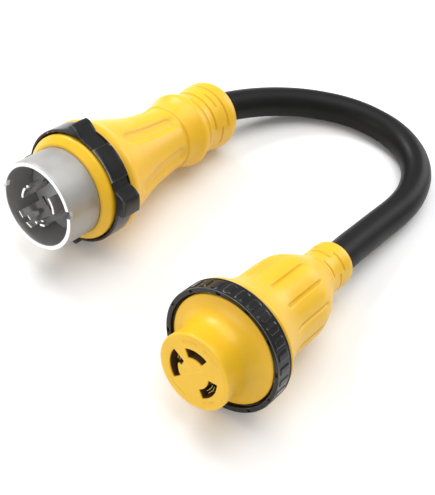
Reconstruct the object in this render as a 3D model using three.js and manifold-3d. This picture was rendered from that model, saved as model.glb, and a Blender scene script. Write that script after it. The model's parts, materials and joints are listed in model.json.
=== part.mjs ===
// Dogbone power adapter: a 50 A four-blade locking plug and a 30 A three-slot locking
// connector, joined by a short, thick cord. The plug and the connector lie side by side
// on a flat surface, their mating faces towards -Y, and the cord loops round behind them.
// Millimetres, +Z up, z = 0 is the surface that the adapter rests on.
//
// Each end is built in a group of its own, whose Y axis runs from the mating face back
// towards the cord, and is then laid down. "along" is a distance on that axis. Angles
// are in degrees round it, from straight up (+Z) towards +X.

import * as THREE from 'three';
import { mergeVertices } from 'three/addons/utils/BufferGeometryUtils.js';
import Module from 'manifold-3d';

const wasm = await Module();
wasm.setup();

// ---------------------------------------------------------------- driving dimensions

const GAP = 0.3; // clearance between pieces that touch
const RUN = 0.4; // running clearance of a ring that turns

const cord = { radius: 10.9, sides: 12, steps: 44 };
const lead = { radius: 2.6, sides: 8, steps: 12, ring: 5.4 };

const plug = {
  place: [-69.04, -75.67, 48.50],
  pitch: 8.1,
  yaw: -0.3,
  shroudRadius: 28.5,
  shroudWall: 3.1,
  shroudBack: 44.3,
  insertFront: 22,
  insertBack: 40,
  flangeFront: 25.3,
  flangeEdge: 30.8,
  flangeBack: 33,
  flangeRadius: 34.4,
  barrelRadius: 31,
  shoulder: 45.8,
  shoulderRadius: 37.8,
  collarFront: 119.5,
  bodyBack: 139.4,
  reliefBack: 174.8,
};

const plugRing = {
  front: 31.1,
  back: 45.5,
  lip: 3.5,
  baseRadius: 37.4,
  gripRadius: 36.5,
  lobeRadius: 42.7,
  saddleCentre: 35.5,
  saddleHalf: 50,
};

const connector = {
  place: [72.90, -73.50, 40.35],
  pitch: 8.8,
  yaw: 1.0,
  faceFront: -23.5,
  faceRadius: 23.6,
  faceWall: 6,
  pocketRadius: 20.3,
  flangeRadius: 34.3,
  flangeFront: 1.4,
  flangeBack: 3.9,
  barrelRadius: 31,
  bodyFront: 12.8,
  bodyRadius: 28.1,
  bodyBack: 91.7,
  reliefBack: 118.4,
};

const connectorRing = { front: 0, back: 12.4, lip: 3, radius: 38.9, ribs: 30, ribHeight: 0.7 };

// Curved blades of the plug: middle radius, thickness and the angles they span.
const blades = [
  { name: 'plug_blade_line_1', radius: 12.9, from: -100, to: -44, notch: -58 },
  { name: 'plug_blade_line_2', radius: 12.9, from: 33, to: 80, notch: 42 },
  { name: 'plug_blade_neutral', radius: 12.9, from: 145, to: 181, notch: 171 },
  { name: 'plug_blade_ground', radius: 19.6, from: -172, to: -132, notch: null },
];
const blade = { thickness: 1.6, tip: 1.5, tail: 46.9, notchWidth: 1.8, notchDepth: 3.5 };

// Curved slots of the connector, each with its brass contact behind it.
const slots = [
  { name: 'ground', inner: 10.6, outer: 16.4, from: -142, to: -70 },
  { name: 'line', inner: 9, outer: 14.7, from: -40, to: 20 },
  { name: 'neutral', inner: 10, outer: 15.8, from: 76, to: 142 },
];
const groundHook = { inner: 7.9, from: -96, to: -70 };
const contact = { wall: 0.8, front: -16.9, back: 14 };

// Where the three leads enter the cord's end, round its axis.
const leadAngles = { line: 0, neutral: 120, ground: -120 };

// The cord's centreline between the two strain reliefs.
const cordRoute = [
  [-64.7, 124.7, 19.8],
  [-57.8, 141.3, 17.1],
  [-49.2, 156.2, 14.9],
  [-38.0, 170.7, 12.9],
  [-24.8, 182.5, 11.5],
  [-11.1, 190.6, 11.0],
  [4.4, 195.7, 10.9],
  [21.9, 197.2, 10.9],
  [30.9, 196.2, 10.9],
  [40.9, 193.2, 10.9],
  [51.4, 187.5, 10.9],
  [59.5, 180.5, 10.9],
  [65.5, 172.8, 10.9],
  [70.7, 162.9, 10.9],
  [75.3, 147.1, 11.2],
  [76.9, 132.2, 11.9],
  [76.8, 119.9, 12.7],
  [75.9, 98.9, 14.7],
  [75.4, 80.4, 16.9],
  [75.0, 63.8, 19.2],
];

const finishes = {
  yellow: { color: 0xf7b924, roughness: 0.45, metalness: 0 },
  black: { color: 0x1f1f22, roughness: 0.4, metalness: 0 },
  jacket: { color: 0x232323, roughness: 0.5, metalness: 0 },
  carrier: { color: 0x5d5d60, roughness: 0.6, metalness: 0 },
  steel: { color: 0xc9c8c4, roughness: 0.3, metalness: 0.9 },
  brass: { color: 0xc9a45a, roughness: 0.35, metalness: 1 },
  nickel: { color: 0xdcdcda, roughness: 0.25, metalness: 1 },
  rubber: { color: 0x19191b, roughness: 0.7, metalness: 0 },
  lineLead: { color: 0x151515, roughness: 0.5, metalness: 0 },
  neutralLead: { color: 0xe6e6e2, roughness: 0.5, metalness: 0 },
  groundLead: { color: 0x2c7a3c, roughness: 0.5, metalness: 0 },
};

// ------------------------------------------------------------------------ geometry

function radians(degrees) {
  return THREE.MathUtils.degToRad(degrees);
}

function polar(radius, degrees, along) {
  const angle = radians(degrees);
  return new THREE.Vector3(radius * Math.sin(angle), along, radius * Math.cos(angle));
}

// A turned solid. The outline is a list of [radius, along] pairs that starts and ends
// on the axis. warp, if given, changes a point's radius by its place and angle.
function turned(outline, segments, warp) {
  const points = outline.map(([radius, along]) => new THREE.Vector2(radius, along));
  const geometry = new THREE.LatheGeometry(points, segments);
  if (warp) {
    const position = geometry.attributes.position;
    for (let i = 0; i < position.count; i += 1) {
      const x = position.getX(i);
      const z = position.getZ(i);
      const radius = Math.hypot(x, z);
      if (radius > 0) {
        const scale = warp(radius, position.getY(i), THREE.MathUtils.radToDeg(Math.atan2(x, z))) / radius;
        position.setX(i, x * scale);
        position.setZ(i, z * scale);
      }
    }
  }
  return geometry;
}

// A turned solid with a bore, or a ring: the outline closes on itself.
function turnedRing(outline, segments, warp) {
  return turned([...outline, outline[0]], segments, warp);
}

// An arc-shaped bar that runs along the axis, optionally with an arc-shaped hole.
function arcOutline(path, inner, outer, from, to, pieces) {
  for (let i = 0; i <= pieces; i += 1) {
    const angle = radians(from + ((to - from) * i) / pieces);
    const point = [outer * Math.sin(angle), -outer * Math.cos(angle)];
    if (i === 0) path.moveTo(...point);
    else path.lineTo(...point);
  }
  for (let i = pieces; i >= 0; i -= 1) {
    const angle = radians(from + ((to - from) * i) / pieces);
    path.lineTo(inner * Math.sin(angle), -inner * Math.cos(angle));
  }
  path.closePath();
  return path;
}

function arcBar({ inner, outer, from, to, front, back, wall }) {
  const pieces = Math.max(3, Math.round((to - from) / 9));
  const shape = arcOutline(new THREE.Shape(), inner, outer, from, to, pieces);
  if (wall) {
    const turn = THREE.MathUtils.radToDeg((2 * wall) / (inner + outer));
    const hole = arcOutline(new THREE.Path(), inner + wall, outer - wall, from + turn, to - turn, pieces);
    shape.holes.push(hole);
  }
  const geometry = new THREE.ExtrudeGeometry(shape, { depth: back - front, bevelEnabled: false });
  geometry.rotateX(-Math.PI / 2);
  geometry.translate(0, front, 0);
  return geometry;
}

function tube(curve, radius, sides, steps) {
  const shape = new THREE.Shape();
  for (let i = 0; i < sides; i += 1) {
    const angle = (2 * Math.PI * i) / sides;
    const point = [radius * Math.cos(angle), radius * Math.sin(angle)];
    if (i === 0) shape.moveTo(...point);
    else shape.lineTo(...point);
  }
  shape.closePath();
  return new THREE.ExtrudeGeometry(shape, { steps, extrudePath: curve, bevelEnabled: false });
}

function toSolid(geometry) {
  const plain = geometry.clone();
  plain.deleteAttribute('normal');
  plain.deleteAttribute('uv');
  const merged = mergeVertices(plain, 1e-4);
  const mesh = new wasm.Mesh({
    numProp: 3,
    vertProperties: new Float32Array(merged.attributes.position.array),
    triVerts: new Uint32Array(merged.index.array),
  });
  return new wasm.Manifold(mesh);
}

function fromSolid(solid) {
  const mesh = solid.getMesh();
  const geometry = new THREE.BufferGeometry();
  geometry.setAttribute('position', new THREE.BufferAttribute(new Float32Array(mesh.vertProperties), 3));
  geometry.setIndex(new THREE.BufferAttribute(new Uint32Array(mesh.triVerts), 1));
  geometry.computeVertexNormals();
  return geometry;
}

function cutAway(geometry, cutters) {
  return fromSolid(cutters.reduce((solid, cutter) => solid.subtract(toSolid(cutter)), toSolid(geometry)));
}

function piece(name, geometry, finish) {
  const mesh = new THREE.Mesh(geometry, new THREE.MeshStandardMaterial(finishes[finish]));
  mesh.name = name;
  return mesh;
}

// How far a value lies inside a span, eased from 0 at its ends to 1 over the run-in.
function within(value, start, end, runIn) {
  const inside = Math.min(value - start, end - value) / runIn;
  return THREE.MathUtils.smoothstep(inside, 0, 1);
}

// Angle from the nearest of a row of evenly spaced features, in degrees.
function fromNearest(degrees, first, spacing) {
  const offset = THREE.MathUtils.euclideanModulo(degrees - first + spacing / 2, spacing);
  return offset - spacing / 2;
}

// --------------------------------------------------------------------- plug end

function makeShroud() {
  const inner = plug.shroudRadius - plug.shroudWall;
  const outline = [
    [inner, 0],
    [inner, plug.shroudBack],
    [plug.shroudRadius, plug.shroudBack],
    [plug.shroudRadius, 0],
  ];
  const keyways = [-89, 66].map((middle) => arcBar({
    inner: inner - 2,
    outer: plug.shroudRadius + 2,
    from: middle - 5.5,
    to: middle + 5.5,
    front: -2,
    back: 4,
  }));
  return piece('plug_shroud', cutAway(turnedRing(outline.reverse(), 48), keyways), 'steel');
}

function makeInsert() {
  const radius = plug.shroudRadius - plug.shroudWall - GAP;
  const bossRadius = 9;
  const outline = [
    [0, plug.insertBack],
    [radius, plug.insertBack],
    [radius, plug.insertFront],
    [bossRadius, plug.insertFront],
    [bossRadius, plug.insertFront - 5],
    [0, plug.insertFront - 5],
  ];
  const bladeSlots = blades.map((item) => arcBar({
    inner: item.radius - blade.thickness / 2 - GAP,
    outer: item.radius + blade.thickness / 2 + GAP,
    from: item.from - 1.5,
    to: item.to + 1.5,
    front: plug.insertFront - 8,
    back: plug.insertBack + 2,
  }));
  return piece('plug_insert', cutAway(turned(outline.reverse(), 36), bladeSlots), 'carrier');
}

function makeBlade(item) {
  const inner = item.radius - blade.thickness / 2;
  const outer = item.radius + blade.thickness / 2;
  const bar = arcBar({ inner, outer, from: item.from, to: item.to, front: blade.tip, back: blade.tail });
  if (item.notch === null) return piece(item.name, bar, 'nickel');
  const halfTurn = THREE.MathUtils.radToDeg(blade.notchWidth / 2 / item.radius);
  const notch = arcBar({
    inner: inner - 1,
    outer: outer + 1,
    from: item.notch - halfTurn,
    to: item.notch + halfTurn,
    front: blade.tip - 1,
    back: blade.tip + blade.notchDepth,
  });
  return piece(item.name, cutAway(bar, [notch]), 'nickel');
}

const plugBore = [
  [plug.shroudRadius + GAP, plug.flangeFront],
  [plug.shroudRadius + GAP, 62],
  [23, 80],
  [19, 95],
  [15, 120],
  [15, plug.bodyBack],
];

// Six shallow grip hollows run along the plug's flared body.
function plugGrip(radius, along, angle) {
  if (radius < 20 || along < 50 || along > plug.collarFront) return radius;
  const side = Math.abs(fromNearest(angle, 20, 60)) / 13;
  const hollow = side < 1 ? Math.cos((side * Math.PI) / 2) ** 2 : 0;
  return radius - 1.7 * hollow * within(along, 50, plug.collarFront - 1, 14);
}

function makePlugBody() {
  const outside = [
    [24.8, plug.bodyBack],
    [26, 136.2],
    [25.9, 133],
    [24, 126.3],
    [22.4, plug.collarFront + 0.8],
    [21.8, plug.collarFront],
    [22.2, 113],
    [23.2, 104],
    [24.2, 97],
    [25.3, 90.5],
    [26.6, 84],
    [28.2, 78],
    [29.9, 72.5],
    [31.6, 67],
    [33.3, 61.5],
    [35.5, 54.5],
    [plug.shoulderRadius, 49],
    [plug.shoulderRadius - 0.6, plug.shoulder],
    [plug.barrelRadius, plug.shoulder],
    [plug.barrelRadius, plug.flangeBack + 0.3],
    [plug.flangeRadius, plug.flangeBack],
    [plug.flangeRadius, plug.flangeEdge],
    [30.2, plug.flangeFront],
  ];
  const geometry = turnedRing([...outside, ...plugBore].reverse(), 48, (radius, along, angle) => {
    const bore = plugBore.some(([r, a]) => Math.abs(r - radius) < 0.01 && Math.abs(a - along) < 0.01);
    return bore ? radius : plugGrip(radius, along, angle);
  });
  return piece('plug_body', geometry, 'yellow');
}

function makePlugCore() {
  const front = plug.shroudBack + GAP;
  const outside = plugBore.slice(1).map(([radius, along]) => [radius - GAP, along]);
  const outline = [
    [plug.shroudRadius, front],
    ...outside,
    [9.3, plug.bodyBack],
    [9.3, 86],
    [23, 54],
    [23, front],
  ];
  return piece('plug_core', turnedRing(outline, 32), 'carrier');
}

// Ribbed strain relief with a bore for the cord's end and a wider one for its clamp.
function reliefOutline(outside, front, back, clampBack) {
  const clampBore = cord.radius + 1.9;
  return [
    ...outside,
    [cord.radius + GAP, back],
    [cord.radius + GAP, clampBack],
    [clampBore, clampBack],
    [clampBore, front],
  ];
}

function makePlugRelief() {
  const front = plug.bodyBack + GAP;
  const back = plug.reliefBack;
  const outside = [
    [24.5, front],
    [23.2, 142.5],
    [22.4, 146],
    [22.4, 150.5],
    [23.4, 159],
    [24.3, 166],
    [23.8, back - 4.5],
    [22.5, back - 1.5],
    [20.6, back],
  ];
  const geometry = turnedRing(reliefOutline(outside, front, back, 161), 36);
  return piece('plug_strain_relief', geometry, 'yellow');
}

function makeCordClamp(name, front, back) {
  const outline = [
    [cord.radius + GAP, front],
    [cord.radius + 1.5, front],
    [cord.radius + 1.5, back],
    [cord.radius + GAP, back],
  ];
  return piece(name, turnedRing(outline, 24), 'steel');
}

function makeJacketEnd(name, front, back) {
  const outline = [
    [0, front],
    [cord.radius, front],
    [cord.radius, back],
    [0, back],
  ];
  return piece(name, turned(outline, 24), 'jacket');
}

// The plug's locking ring: two finger saddles, each between two steep-backed lobes.
function plugRingRadius(angle) {
  const fromSaddle = Math.abs(fromNearest(angle, plugRing.saddleCentre, 180));
  const half = plugRing.saddleHalf;
  if (fromSaddle > half) return plugRing.baseRadius;
  const rise = THREE.MathUtils.smoothstep(fromSaddle, half - 24, half - 9);
  return THREE.MathUtils.lerp(plugRing.gripRadius, plugRing.lobeRadius, rise);
}

function ringOutline(ring, flangeRadius, barrelRadius, radius) {
  return [
    [flangeRadius + 0.5, ring.front],
    [radius, ring.front],
    [radius, ring.back],
    [barrelRadius + RUN, ring.back],
    [barrelRadius + RUN, ring.back - ring.lip],
    [flangeRadius + 0.5, ring.back - ring.lip],
  ];
}

function makePlugRing() {
  const outline = ringOutline(plugRing, plug.flangeRadius, plug.barrelRadius, plugRing.baseRadius);
  const geometry = turnedRing(outline, 72, (radius, along, angle) => (
    radius > plug.flangeRadius + 1 ? plugRingRadius(angle) : radius
  ));
  return piece('plug_locking_ring', geometry, 'black');
}

function makeWasher(name, ring, flangeRadius, barrelRadius) {
  const back = ring.back - ring.lip - GAP;
  const outline = [
    [barrelRadius + RUN, back - 1.2],
    [flangeRadius + 0.1, back - 1.2],
    [flangeRadius + 0.1, back],
    [barrelRadius + RUN, back],
  ];
  return piece(name, turnedRing(outline, 36), 'rubber');
}

// A lead from a terminal to the cord's end: it closes in on the axis as it goes back.
function makeLead(name, finish, from, to, stops) {
  const points = stops.map(([along, share]) => {
    const radius = THREE.MathUtils.lerp(from.radius, to.radius, share);
    return polar(radius, THREE.MathUtils.lerp(from.angle, to.angle, share), along);
  });
  const curve = new THREE.CatmullRomCurve3(points);
  return piece(name, tube(curve, lead.radius, lead.sides, lead.steps), finish);
}

function middle(item) {
  return (item.from + item.to) / 2;
}

// The same angle written so that it is within half a turn of another.
function nearAngle(angle, other) {
  return other + fromNearest(angle, other, 360);
}

function makePlugLeads() {
  const stops = [[blade.tail + 0.5, 0], [51, 0], [56, 0.1], [69, 0.55], [82, 0.95], [95, 1], [120, 1], [plug.bodyBack - 0.3, 1]];
  const terminals = { line: blades[0], neutral: blades[2], ground: blades[3] };
  return Object.entries(terminals).map(([wire, item]) => {
    const from = { radius: item.radius, angle: nearAngle(middle(item), leadAngles[wire]) };
    const to = { radius: lead.ring, angle: leadAngles[wire] };
    return makeLead(`plug_lead_${wire}`, `${wire}Lead`, from, to, stops);
  });
}

// ---------------------------------------------------------------- connector end

function slotCutters(front, back, extra) {
  const cutters = slots.map((slot) => arcBar({
    inner: slot.inner - extra,
    outer: slot.outer + extra,
    from: slot.from - extra * 4,
    to: slot.to + extra * 4,
    front,
    back,
  }));
  return cutters;
}

function makeConnectorFront() {
  const rear = connector.bodyFront - GAP;
  const wallBack = connector.faceFront + connector.faceWall;
  const outline = [
    [0, connector.faceFront],
    [connector.faceRadius - 1, connector.faceFront],
    [connector.faceRadius, connector.faceFront + 1],
    [22.9, -16],
    [22.7, -11],
    [23.4, -6.5],
    [25.5, -2.4],
    [28.8, 0.4],
    [33.2, connector.flangeFront],
    [connector.flangeRadius, connector.flangeFront + 0.9],
    [connector.flangeRadius, connector.flangeBack],
    [connector.barrelRadius, connector.flangeBack + 0.3],
    [connector.barrelRadius, rear],
    [connector.pocketRadius, rear],
    [connector.pocketRadius, wallBack],
    [0, wallBack],
  ];
  const cutters = slotCutters(connector.faceFront - 2, wallBack + 2, 0);
  cutters.push(arcBar({
    inner: groundHook.inner,
    outer: slots[0].inner + 0.5,
    from: groundHook.from,
    to: groundHook.to,
    front: connector.faceFront - 2,
    back: wallBack + 2,
  }));
  return piece('connector_front', cutAway(turned(outline, 40), cutters), 'yellow');
}

function makeContactCarrier() {
  const front = connector.faceFront + connector.faceWall + GAP;
  const outline = [
    [0, front],
    [connector.pocketRadius - GAP, front],
    [connector.pocketRadius - GAP, 12],
    [0, 12],
  ];
  const pockets = slotCutters(front - 2, contact.back + 2, 0.1);
  return piece('connector_contact_carrier', cutAway(turned(outline, 32), pockets), 'carrier');
}

function makeContact(slot) {
  const inset = 0.25;
  const turn = 1.5;
  return piece(`connector_contact_${slot.name}`, arcBar({
    inner: slot.inner + inset,
    outer: slot.outer - inset,
    from: slot.from + turn,
    to: slot.to - turn,
    front: contact.front,
    back: contact.back,
    wall: contact.wall,
  }), 'brass');
}

const connectorBore = [
  [connector.pocketRadius, connector.bodyFront],
  [connector.pocketRadius, 58],
  [12.2, 82],
  [12.2, connector.bodyBack],
];

// Twelve fine grooves run along the connector's body.
function connectorGrooves(radius, along, angle) {
  if (radius < connector.pocketRadius + 3) return radius;
  const side = Math.abs(fromNearest(angle, 0, 30));
  const depth = side < 3 ? 0.8 : 0;
  return radius - depth * within(along, 26, 80, 6);
}

function makeConnectorBody() {
  const outside = [
    [17, connector.bodyBack],
    [19.2, 87],
    [22.4, 81],
    [25.3, 75],
    [27.4, 69],
    [connector.bodyRadius, 64],
    [connector.bodyRadius, 44],
    [28.8, 37],
    [30.2, 31],
    [31.9, 26],
    [33.9, 21],
    [37.3, 15.6],
    [37.9, connector.bodyFront],
  ];
  const outline = [...outside, ...connectorBore].reverse();
  return piece('connector_body', turnedRing(outline, 48, connectorGrooves), 'yellow');
}

function makeConnectorCore() {
  const outside = connectorBore.map(([radius, along]) => [radius - GAP, along]);
  outside[0][1] += GAP;
  const outline = [
    ...outside,
    [9.3, connector.bodyBack],
    [9.3, 62],
    [17.5, 32],
    [17.5, connector.bodyFront + GAP],
  ];
  return piece('connector_core', turnedRing(outline, 32), 'carrier');
}

function makeConnectorRelief() {
  const front = connector.bodyBack + GAP;
  const back = connector.reliefBack;
  const outside = [
    [16.8, front],
    [15.8, 95.5],
    [15.3, 99],
    [15.2, 104],
    [15.4, 110],
    [15.6, back - 3.4],
    [15.2, back - 0.9],
    [14.2, back],
  ];
  const geometry = turnedRing(reliefOutline(outside, front, back, 107), 32);
  return piece('connector_strain_relief', geometry, 'yellow');
}

function makeConnectorRing() {
  const outline = ringOutline(connectorRing, connector.flangeRadius, connector.barrelRadius, connectorRing.radius);
  const spacing = 360 / connectorRing.ribs;
  const geometry = turnedRing(outline, connectorRing.ribs * 2, (radius, along, angle) => {
    if (radius < connectorRing.radius - 1) return radius;
    const groove = Math.abs(fromNearest(angle, 0, spacing)) > spacing / 4;
    return groove ? radius - connectorRing.ribHeight : radius;
  });
  return piece('connector_locking_ring', geometry, 'black');
}

function makeConnectorLeads() {
  const stops = [[contact.back + 0.5, 0], [18, 0], [24, 0.1], [38, 0.55], [52, 0.95], [66, 1], [80, 1], [connector.bodyBack - 0.3, 1]];
  return slots.map((slot) => {
    const wire = slot.name;
    const radius = (slot.inner + slot.outer) / 2;
    const from = { radius, angle: nearAngle(middle(slot), leadAngles[wire]) };
    const to = { radius: lead.ring, angle: leadAngles[wire] };
    return makeLead(`connector_lead_${wire}`, `${wire}Lead`, from, to, stops);
  });
}

// ------------------------------------------------------------------------ assembly

function layDown(group, end) {
  group.rotation.set(radians(-end.pitch), 0, radians(-end.yaw), 'ZXY');
  group.position.set(...end.place);
  group.updateMatrixWorld();
  return group;
}

function makePlugEnd() {
  const group = new THREE.Group();
  group.add(makeShroud(), makeInsert(), ...blades.map(makeBlade));
  group.add(makePlugBody(), makePlugCore(), makePlugRelief());
  group.add(makeCordClamp('plug_cord_clamp', plug.bodyBack + 2, 160));
  group.add(makeJacketEnd('plug_jacket_end', plug.bodyBack + 0.1, plug.reliefBack - GAP));
  group.add(makePlugRing(), makeWasher('plug_ring_washer', plugRing, plug.flangeRadius, plug.barrelRadius));
  group.add(...makePlugLeads());
  return layDown(group, plug);
}

function makeConnectorEnd() {
  const group = new THREE.Group();
  group.add(makeConnectorFront(), makeContactCarrier(), ...slots.map(makeContact));
  group.add(makeConnectorBody(), makeConnectorCore(), makeConnectorRelief());
  group.add(makeCordClamp('connector_cord_clamp', connector.bodyBack + 1, 106));
  group.add(makeJacketEnd('connector_jacket_end', connector.bodyBack + 0.1, connector.reliefBack - GAP));
  group.add(makeConnectorRing());
  group.add(makeWasher('connector_ring_washer', connectorRing, connector.flangeRadius, connector.barrelRadius));
  group.add(...makeConnectorLeads());
  return layDown(group, connector);
}

function makeCord(plugEnd, connectorEnd) {
  const start = plugEnd.localToWorld(new THREE.Vector3(0, plug.reliefBack + GAP, 0));
  const startLead = plugEnd.localToWorld(new THREE.Vector3(0, plug.reliefBack + 9, 0));
  const end = connectorEnd.localToWorld(new THREE.Vector3(0, connector.reliefBack + GAP, 0));
  const endLead = connectorEnd.localToWorld(new THREE.Vector3(0, connector.reliefBack + 12, 0));
  const route = cordRoute.map((point) => new THREE.Vector3(...point));
  const curve = new THREE.CatmullRomCurve3([start, startLead, ...route, endLead, end]);
  return piece('cord', tube(curve, cord.radius, cord.sides, cord.steps), 'jacket');
}

const adapter = new THREE.Group();
const plugEnd = makePlugEnd();
const connectorEnd = makeConnectorEnd();
adapter.add(plugEnd, connectorEnd, makeCord(plugEnd, connectorEnd));

export default adapter;
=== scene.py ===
"""Looks of a dogbone power adapter: a four-blade locking plug and a three-slot locking
connector on a short, thick cord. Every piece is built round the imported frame.

Sizes of the two ends are in millimetres in the end's own frame: radius, distance along
the axis from the mating face back to the cord, and degrees round it from straight up.
"""

import json
import math

import bmesh
import bpy
from mathutils import Matrix, Vector


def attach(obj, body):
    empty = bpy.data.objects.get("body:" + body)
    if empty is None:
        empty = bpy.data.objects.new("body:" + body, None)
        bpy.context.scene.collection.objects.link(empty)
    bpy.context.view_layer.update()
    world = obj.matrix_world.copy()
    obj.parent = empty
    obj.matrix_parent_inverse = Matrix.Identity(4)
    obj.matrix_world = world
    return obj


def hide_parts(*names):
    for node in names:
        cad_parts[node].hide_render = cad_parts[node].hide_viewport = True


bl_info = {
    "name": "Dogbone Power Adapter",
    "version": (1, 0, 0),
    "blender": (4, 5, 0),
    "location": "View3D > Sidebar > Adapter",
    "description": "Builds a dogbone power adapter round its packed frame",
    "category": "Add Mesh",
}

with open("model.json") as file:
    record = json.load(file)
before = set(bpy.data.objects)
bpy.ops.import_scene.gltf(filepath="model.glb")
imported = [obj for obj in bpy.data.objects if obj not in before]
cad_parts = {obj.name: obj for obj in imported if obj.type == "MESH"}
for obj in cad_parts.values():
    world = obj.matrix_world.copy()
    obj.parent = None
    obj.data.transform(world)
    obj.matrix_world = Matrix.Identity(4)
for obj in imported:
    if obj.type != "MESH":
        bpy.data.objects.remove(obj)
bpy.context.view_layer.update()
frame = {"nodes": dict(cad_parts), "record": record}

MM = 0.001


# ------------------------------------------------------------------- placing the ends


def end_placement(mount_name, setback):
    """The matrix from an end's own frame, in millimetres, to the adapter's, in metres."""
    mount = next(m for m in frame["record"]["mounts"] if m["name"] == mount_name)
    back = -Vector(mount["axis"]).normalized()
    side = Vector((back.y, -back.x, 0)).normalized()
    placement = Matrix((side, back, side.cross(back))).transposed().to_4x4()
    placement.translation = Vector(mount["pos_m"]) + back * setback * MM
    return placement @ Matrix.Scale(MM, 4)


PLUG = end_placement("plug_mouth", 0)
CONNECTOR = end_placement("connector_face", 23.5)

# Where the cord runs on an end's own axis, and its centreline between those, in metres.
LEAVES_PLUG = (175.1, 183.8)
MEETS_CONNECTOR = (130.4, 118.7)
CORD_ROUTE = [
    (-0.0647, 0.1247, 0.0198),
    (-0.0578, 0.1413, 0.0171),
    (-0.0492, 0.1562, 0.0149),
    (-0.0380, 0.1707, 0.0129),
    (-0.0248, 0.1825, 0.0115),
    (-0.0111, 0.1906, 0.0110),
    (0.0044, 0.1957, 0.0109),
    (0.0219, 0.1972, 0.0109),
    (0.0309, 0.1962, 0.0109),
    (0.0409, 0.1932, 0.0109),
    (0.0514, 0.1875, 0.0109),
    (0.0595, 0.1805, 0.0109),
    (0.0655, 0.1728, 0.0109),
    (0.0707, 0.1629, 0.0109),
    (0.0753, 0.1471, 0.0112),
    (0.0769, 0.1322, 0.0119),
    (0.0768, 0.1199, 0.0127),
    (0.0759, 0.0989, 0.0147),
    (0.0754, 0.0804, 0.0169),
    (0.0750, 0.0638, 0.0192),
]


# The camera's place in metres, its two directions, and its lens in millimetres.
CAMERA_PLACE = (0.20964, -0.33202, 0.44054)
CAMERA_RIGHT = Vector((0.76844, 0.62496, 0.13753))
CAMERA_AHEAD = Vector((-0.34251, 0.58323, -0.73657))
CAMERA_LENS = 74.4827586


# ------------------------------------------------------------------------ shaping tools


def smoothstep(value, low, high):
    share = min(max((value - low) / (high - low), 0.0), 1.0)
    return share * share * (3 - 2 * share)


def bump(value, low, high, ramp):
    """1 between low and high, falling smoothly to 0 over the ramp outside them."""
    return smoothstep(value, low - ramp, low) * (1 - smoothstep(value, high, high + ramp))


def from_nearest(angle, first, spacing):
    """Degrees from the nearest of a row of evenly spaced features."""
    return (angle - first + spacing / 2) % spacing - spacing / 2


def flowing(points, pieces=5):
    """A smooth curve through (radius, along) points."""
    padded = [points[0], *points, points[-1]]
    curve = []
    for a, b, c, d in zip(padded, padded[1:], padded[2:], padded[3:]):
        for step in range(pieces):
            t = step / pieces
            curve.append(
                tuple(
                    0.5
                    * (
                        2 * q
                        + (r - p) * t
                        + (2 * p - 5 * q + 4 * r - s) * t * t
                        + (3 * q - p - 3 * r + s) * t**3
                    )
                    for p, q, r, s in zip(a, b, c, d)
                )
            )
    curve.append(points[-1])
    return curve


def rounded(corners, pieces=4):
    """A closed loop whose corners (radius, along, rounding) are cut by small arcs."""
    outline = []
    count = len(corners)
    for i, corner in enumerate(corners):
        here = Vector(corner[:2])
        rounding = corner[2] if len(corner) > 2 else 0
        if not rounding:
            outline.append(tuple(here))
            continue
        before = Vector(corners[i - 1][:2])
        after = Vector(corners[(i + 1) % count][:2])
        start = here + (before - here).normalized() * rounding
        end = here + (after - here).normalized() * rounding
        for step in range(pieces + 1):
            t = step / pieces
            outline.append(tuple(start * (1 - t) ** 2 + here * 2 * t * (1 - t) + end * t * t))
    return outline


def evenly(low, high, step):
    count = max(1, round((high - low) / step))
    return [low + (high - low) * i / count for i in range(count + 1)]


def turned(outline, steps, closed=True, start=0.0, sweep=360.0):
    """Spins an outline of (radius, along) points about the axis and closes its poles."""
    bm = bmesh.new()
    verts = [bm.verts.new((0, along, radius)) for radius, along in outline]
    edges = [bm.edges.new(pair) for pair in zip(verts, verts[1:])]
    if closed:
        edges.append(bm.edges.new((verts[-1], verts[0])))
    bmesh.ops.rotate(bm, verts=verts, cent=(0, 0, 0), matrix=Matrix.Rotation(math.radians(start), 3, "Y"))
    whole = sweep == 360.0
    bmesh.ops.spin(
        bm,
        geom=verts + edges,
        cent=(0, 0, 0),
        axis=(0, 1, 0),
        dvec=(0, 0, 0),
        angle=math.radians(sweep),
        steps=steps,
        use_merge=whole,
        use_duplicate=False,
    )
    bmesh.ops.remove_doubles(bm, verts=bm.verts, dist=1e-3)
    if not whole:
        rims = [edge for edge in bm.edges if edge.is_boundary]
        bmesh.ops.holes_fill(bm, edges=rims, sides=0)
    bmesh.ops.recalc_face_normals(bm, faces=bm.faces)
    return bm


def polar(point):
    return math.hypot(point.x, point.z), point.y, math.degrees(math.atan2(point.x, point.z))


def reshaped(bm, change):
    """Moves each point to the radius and distance along that change gives for it."""
    for vert in bm.verts:
        radius, along, angle = polar(vert.co)
        if radius < 0.05:
            continue
        new_radius, new_along = change(radius, along, angle)
        vert.co.x *= new_radius / radius
        vert.co.z *= new_radius / radius
        vert.co.y = new_along
    return bm


def pushed(bm, picks, distance):
    """Extrudes the faces that picks chooses along the axis and returns the moved faces."""
    faces = [face for face in bm.faces if picks(face)]
    made = bmesh.ops.extrude_face_region(bm, geom=faces)["geom"]
    moved = [item for item in made if isinstance(item, bmesh.types.BMVert)]
    bmesh.ops.translate(bm, verts=moved, vec=(0, distance, 0))
    stale = [face for face in faces if face.is_valid]
    bmesh.ops.delete(bm, geom=stale, context="FACES_ONLY")
    return [item for item in made if isinstance(item, bmesh.types.BMFace) and item.is_valid]


def bevelled(bm, edges, width, segments=2):
    bmesh.ops.bevel(
        bm,
        geom=edges,
        offset=width,
        segments=segments,
        profile=0.5,
        affect="EDGES",
        material=-1,
        clamp_overlap=True,
    )
    return bm


def sharp_edges(bm, degrees):
    limit = math.radians(degrees)
    return [edge for edge in bm.edges if edge.is_manifold and edge.calc_face_angle(0) > limit]


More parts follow.
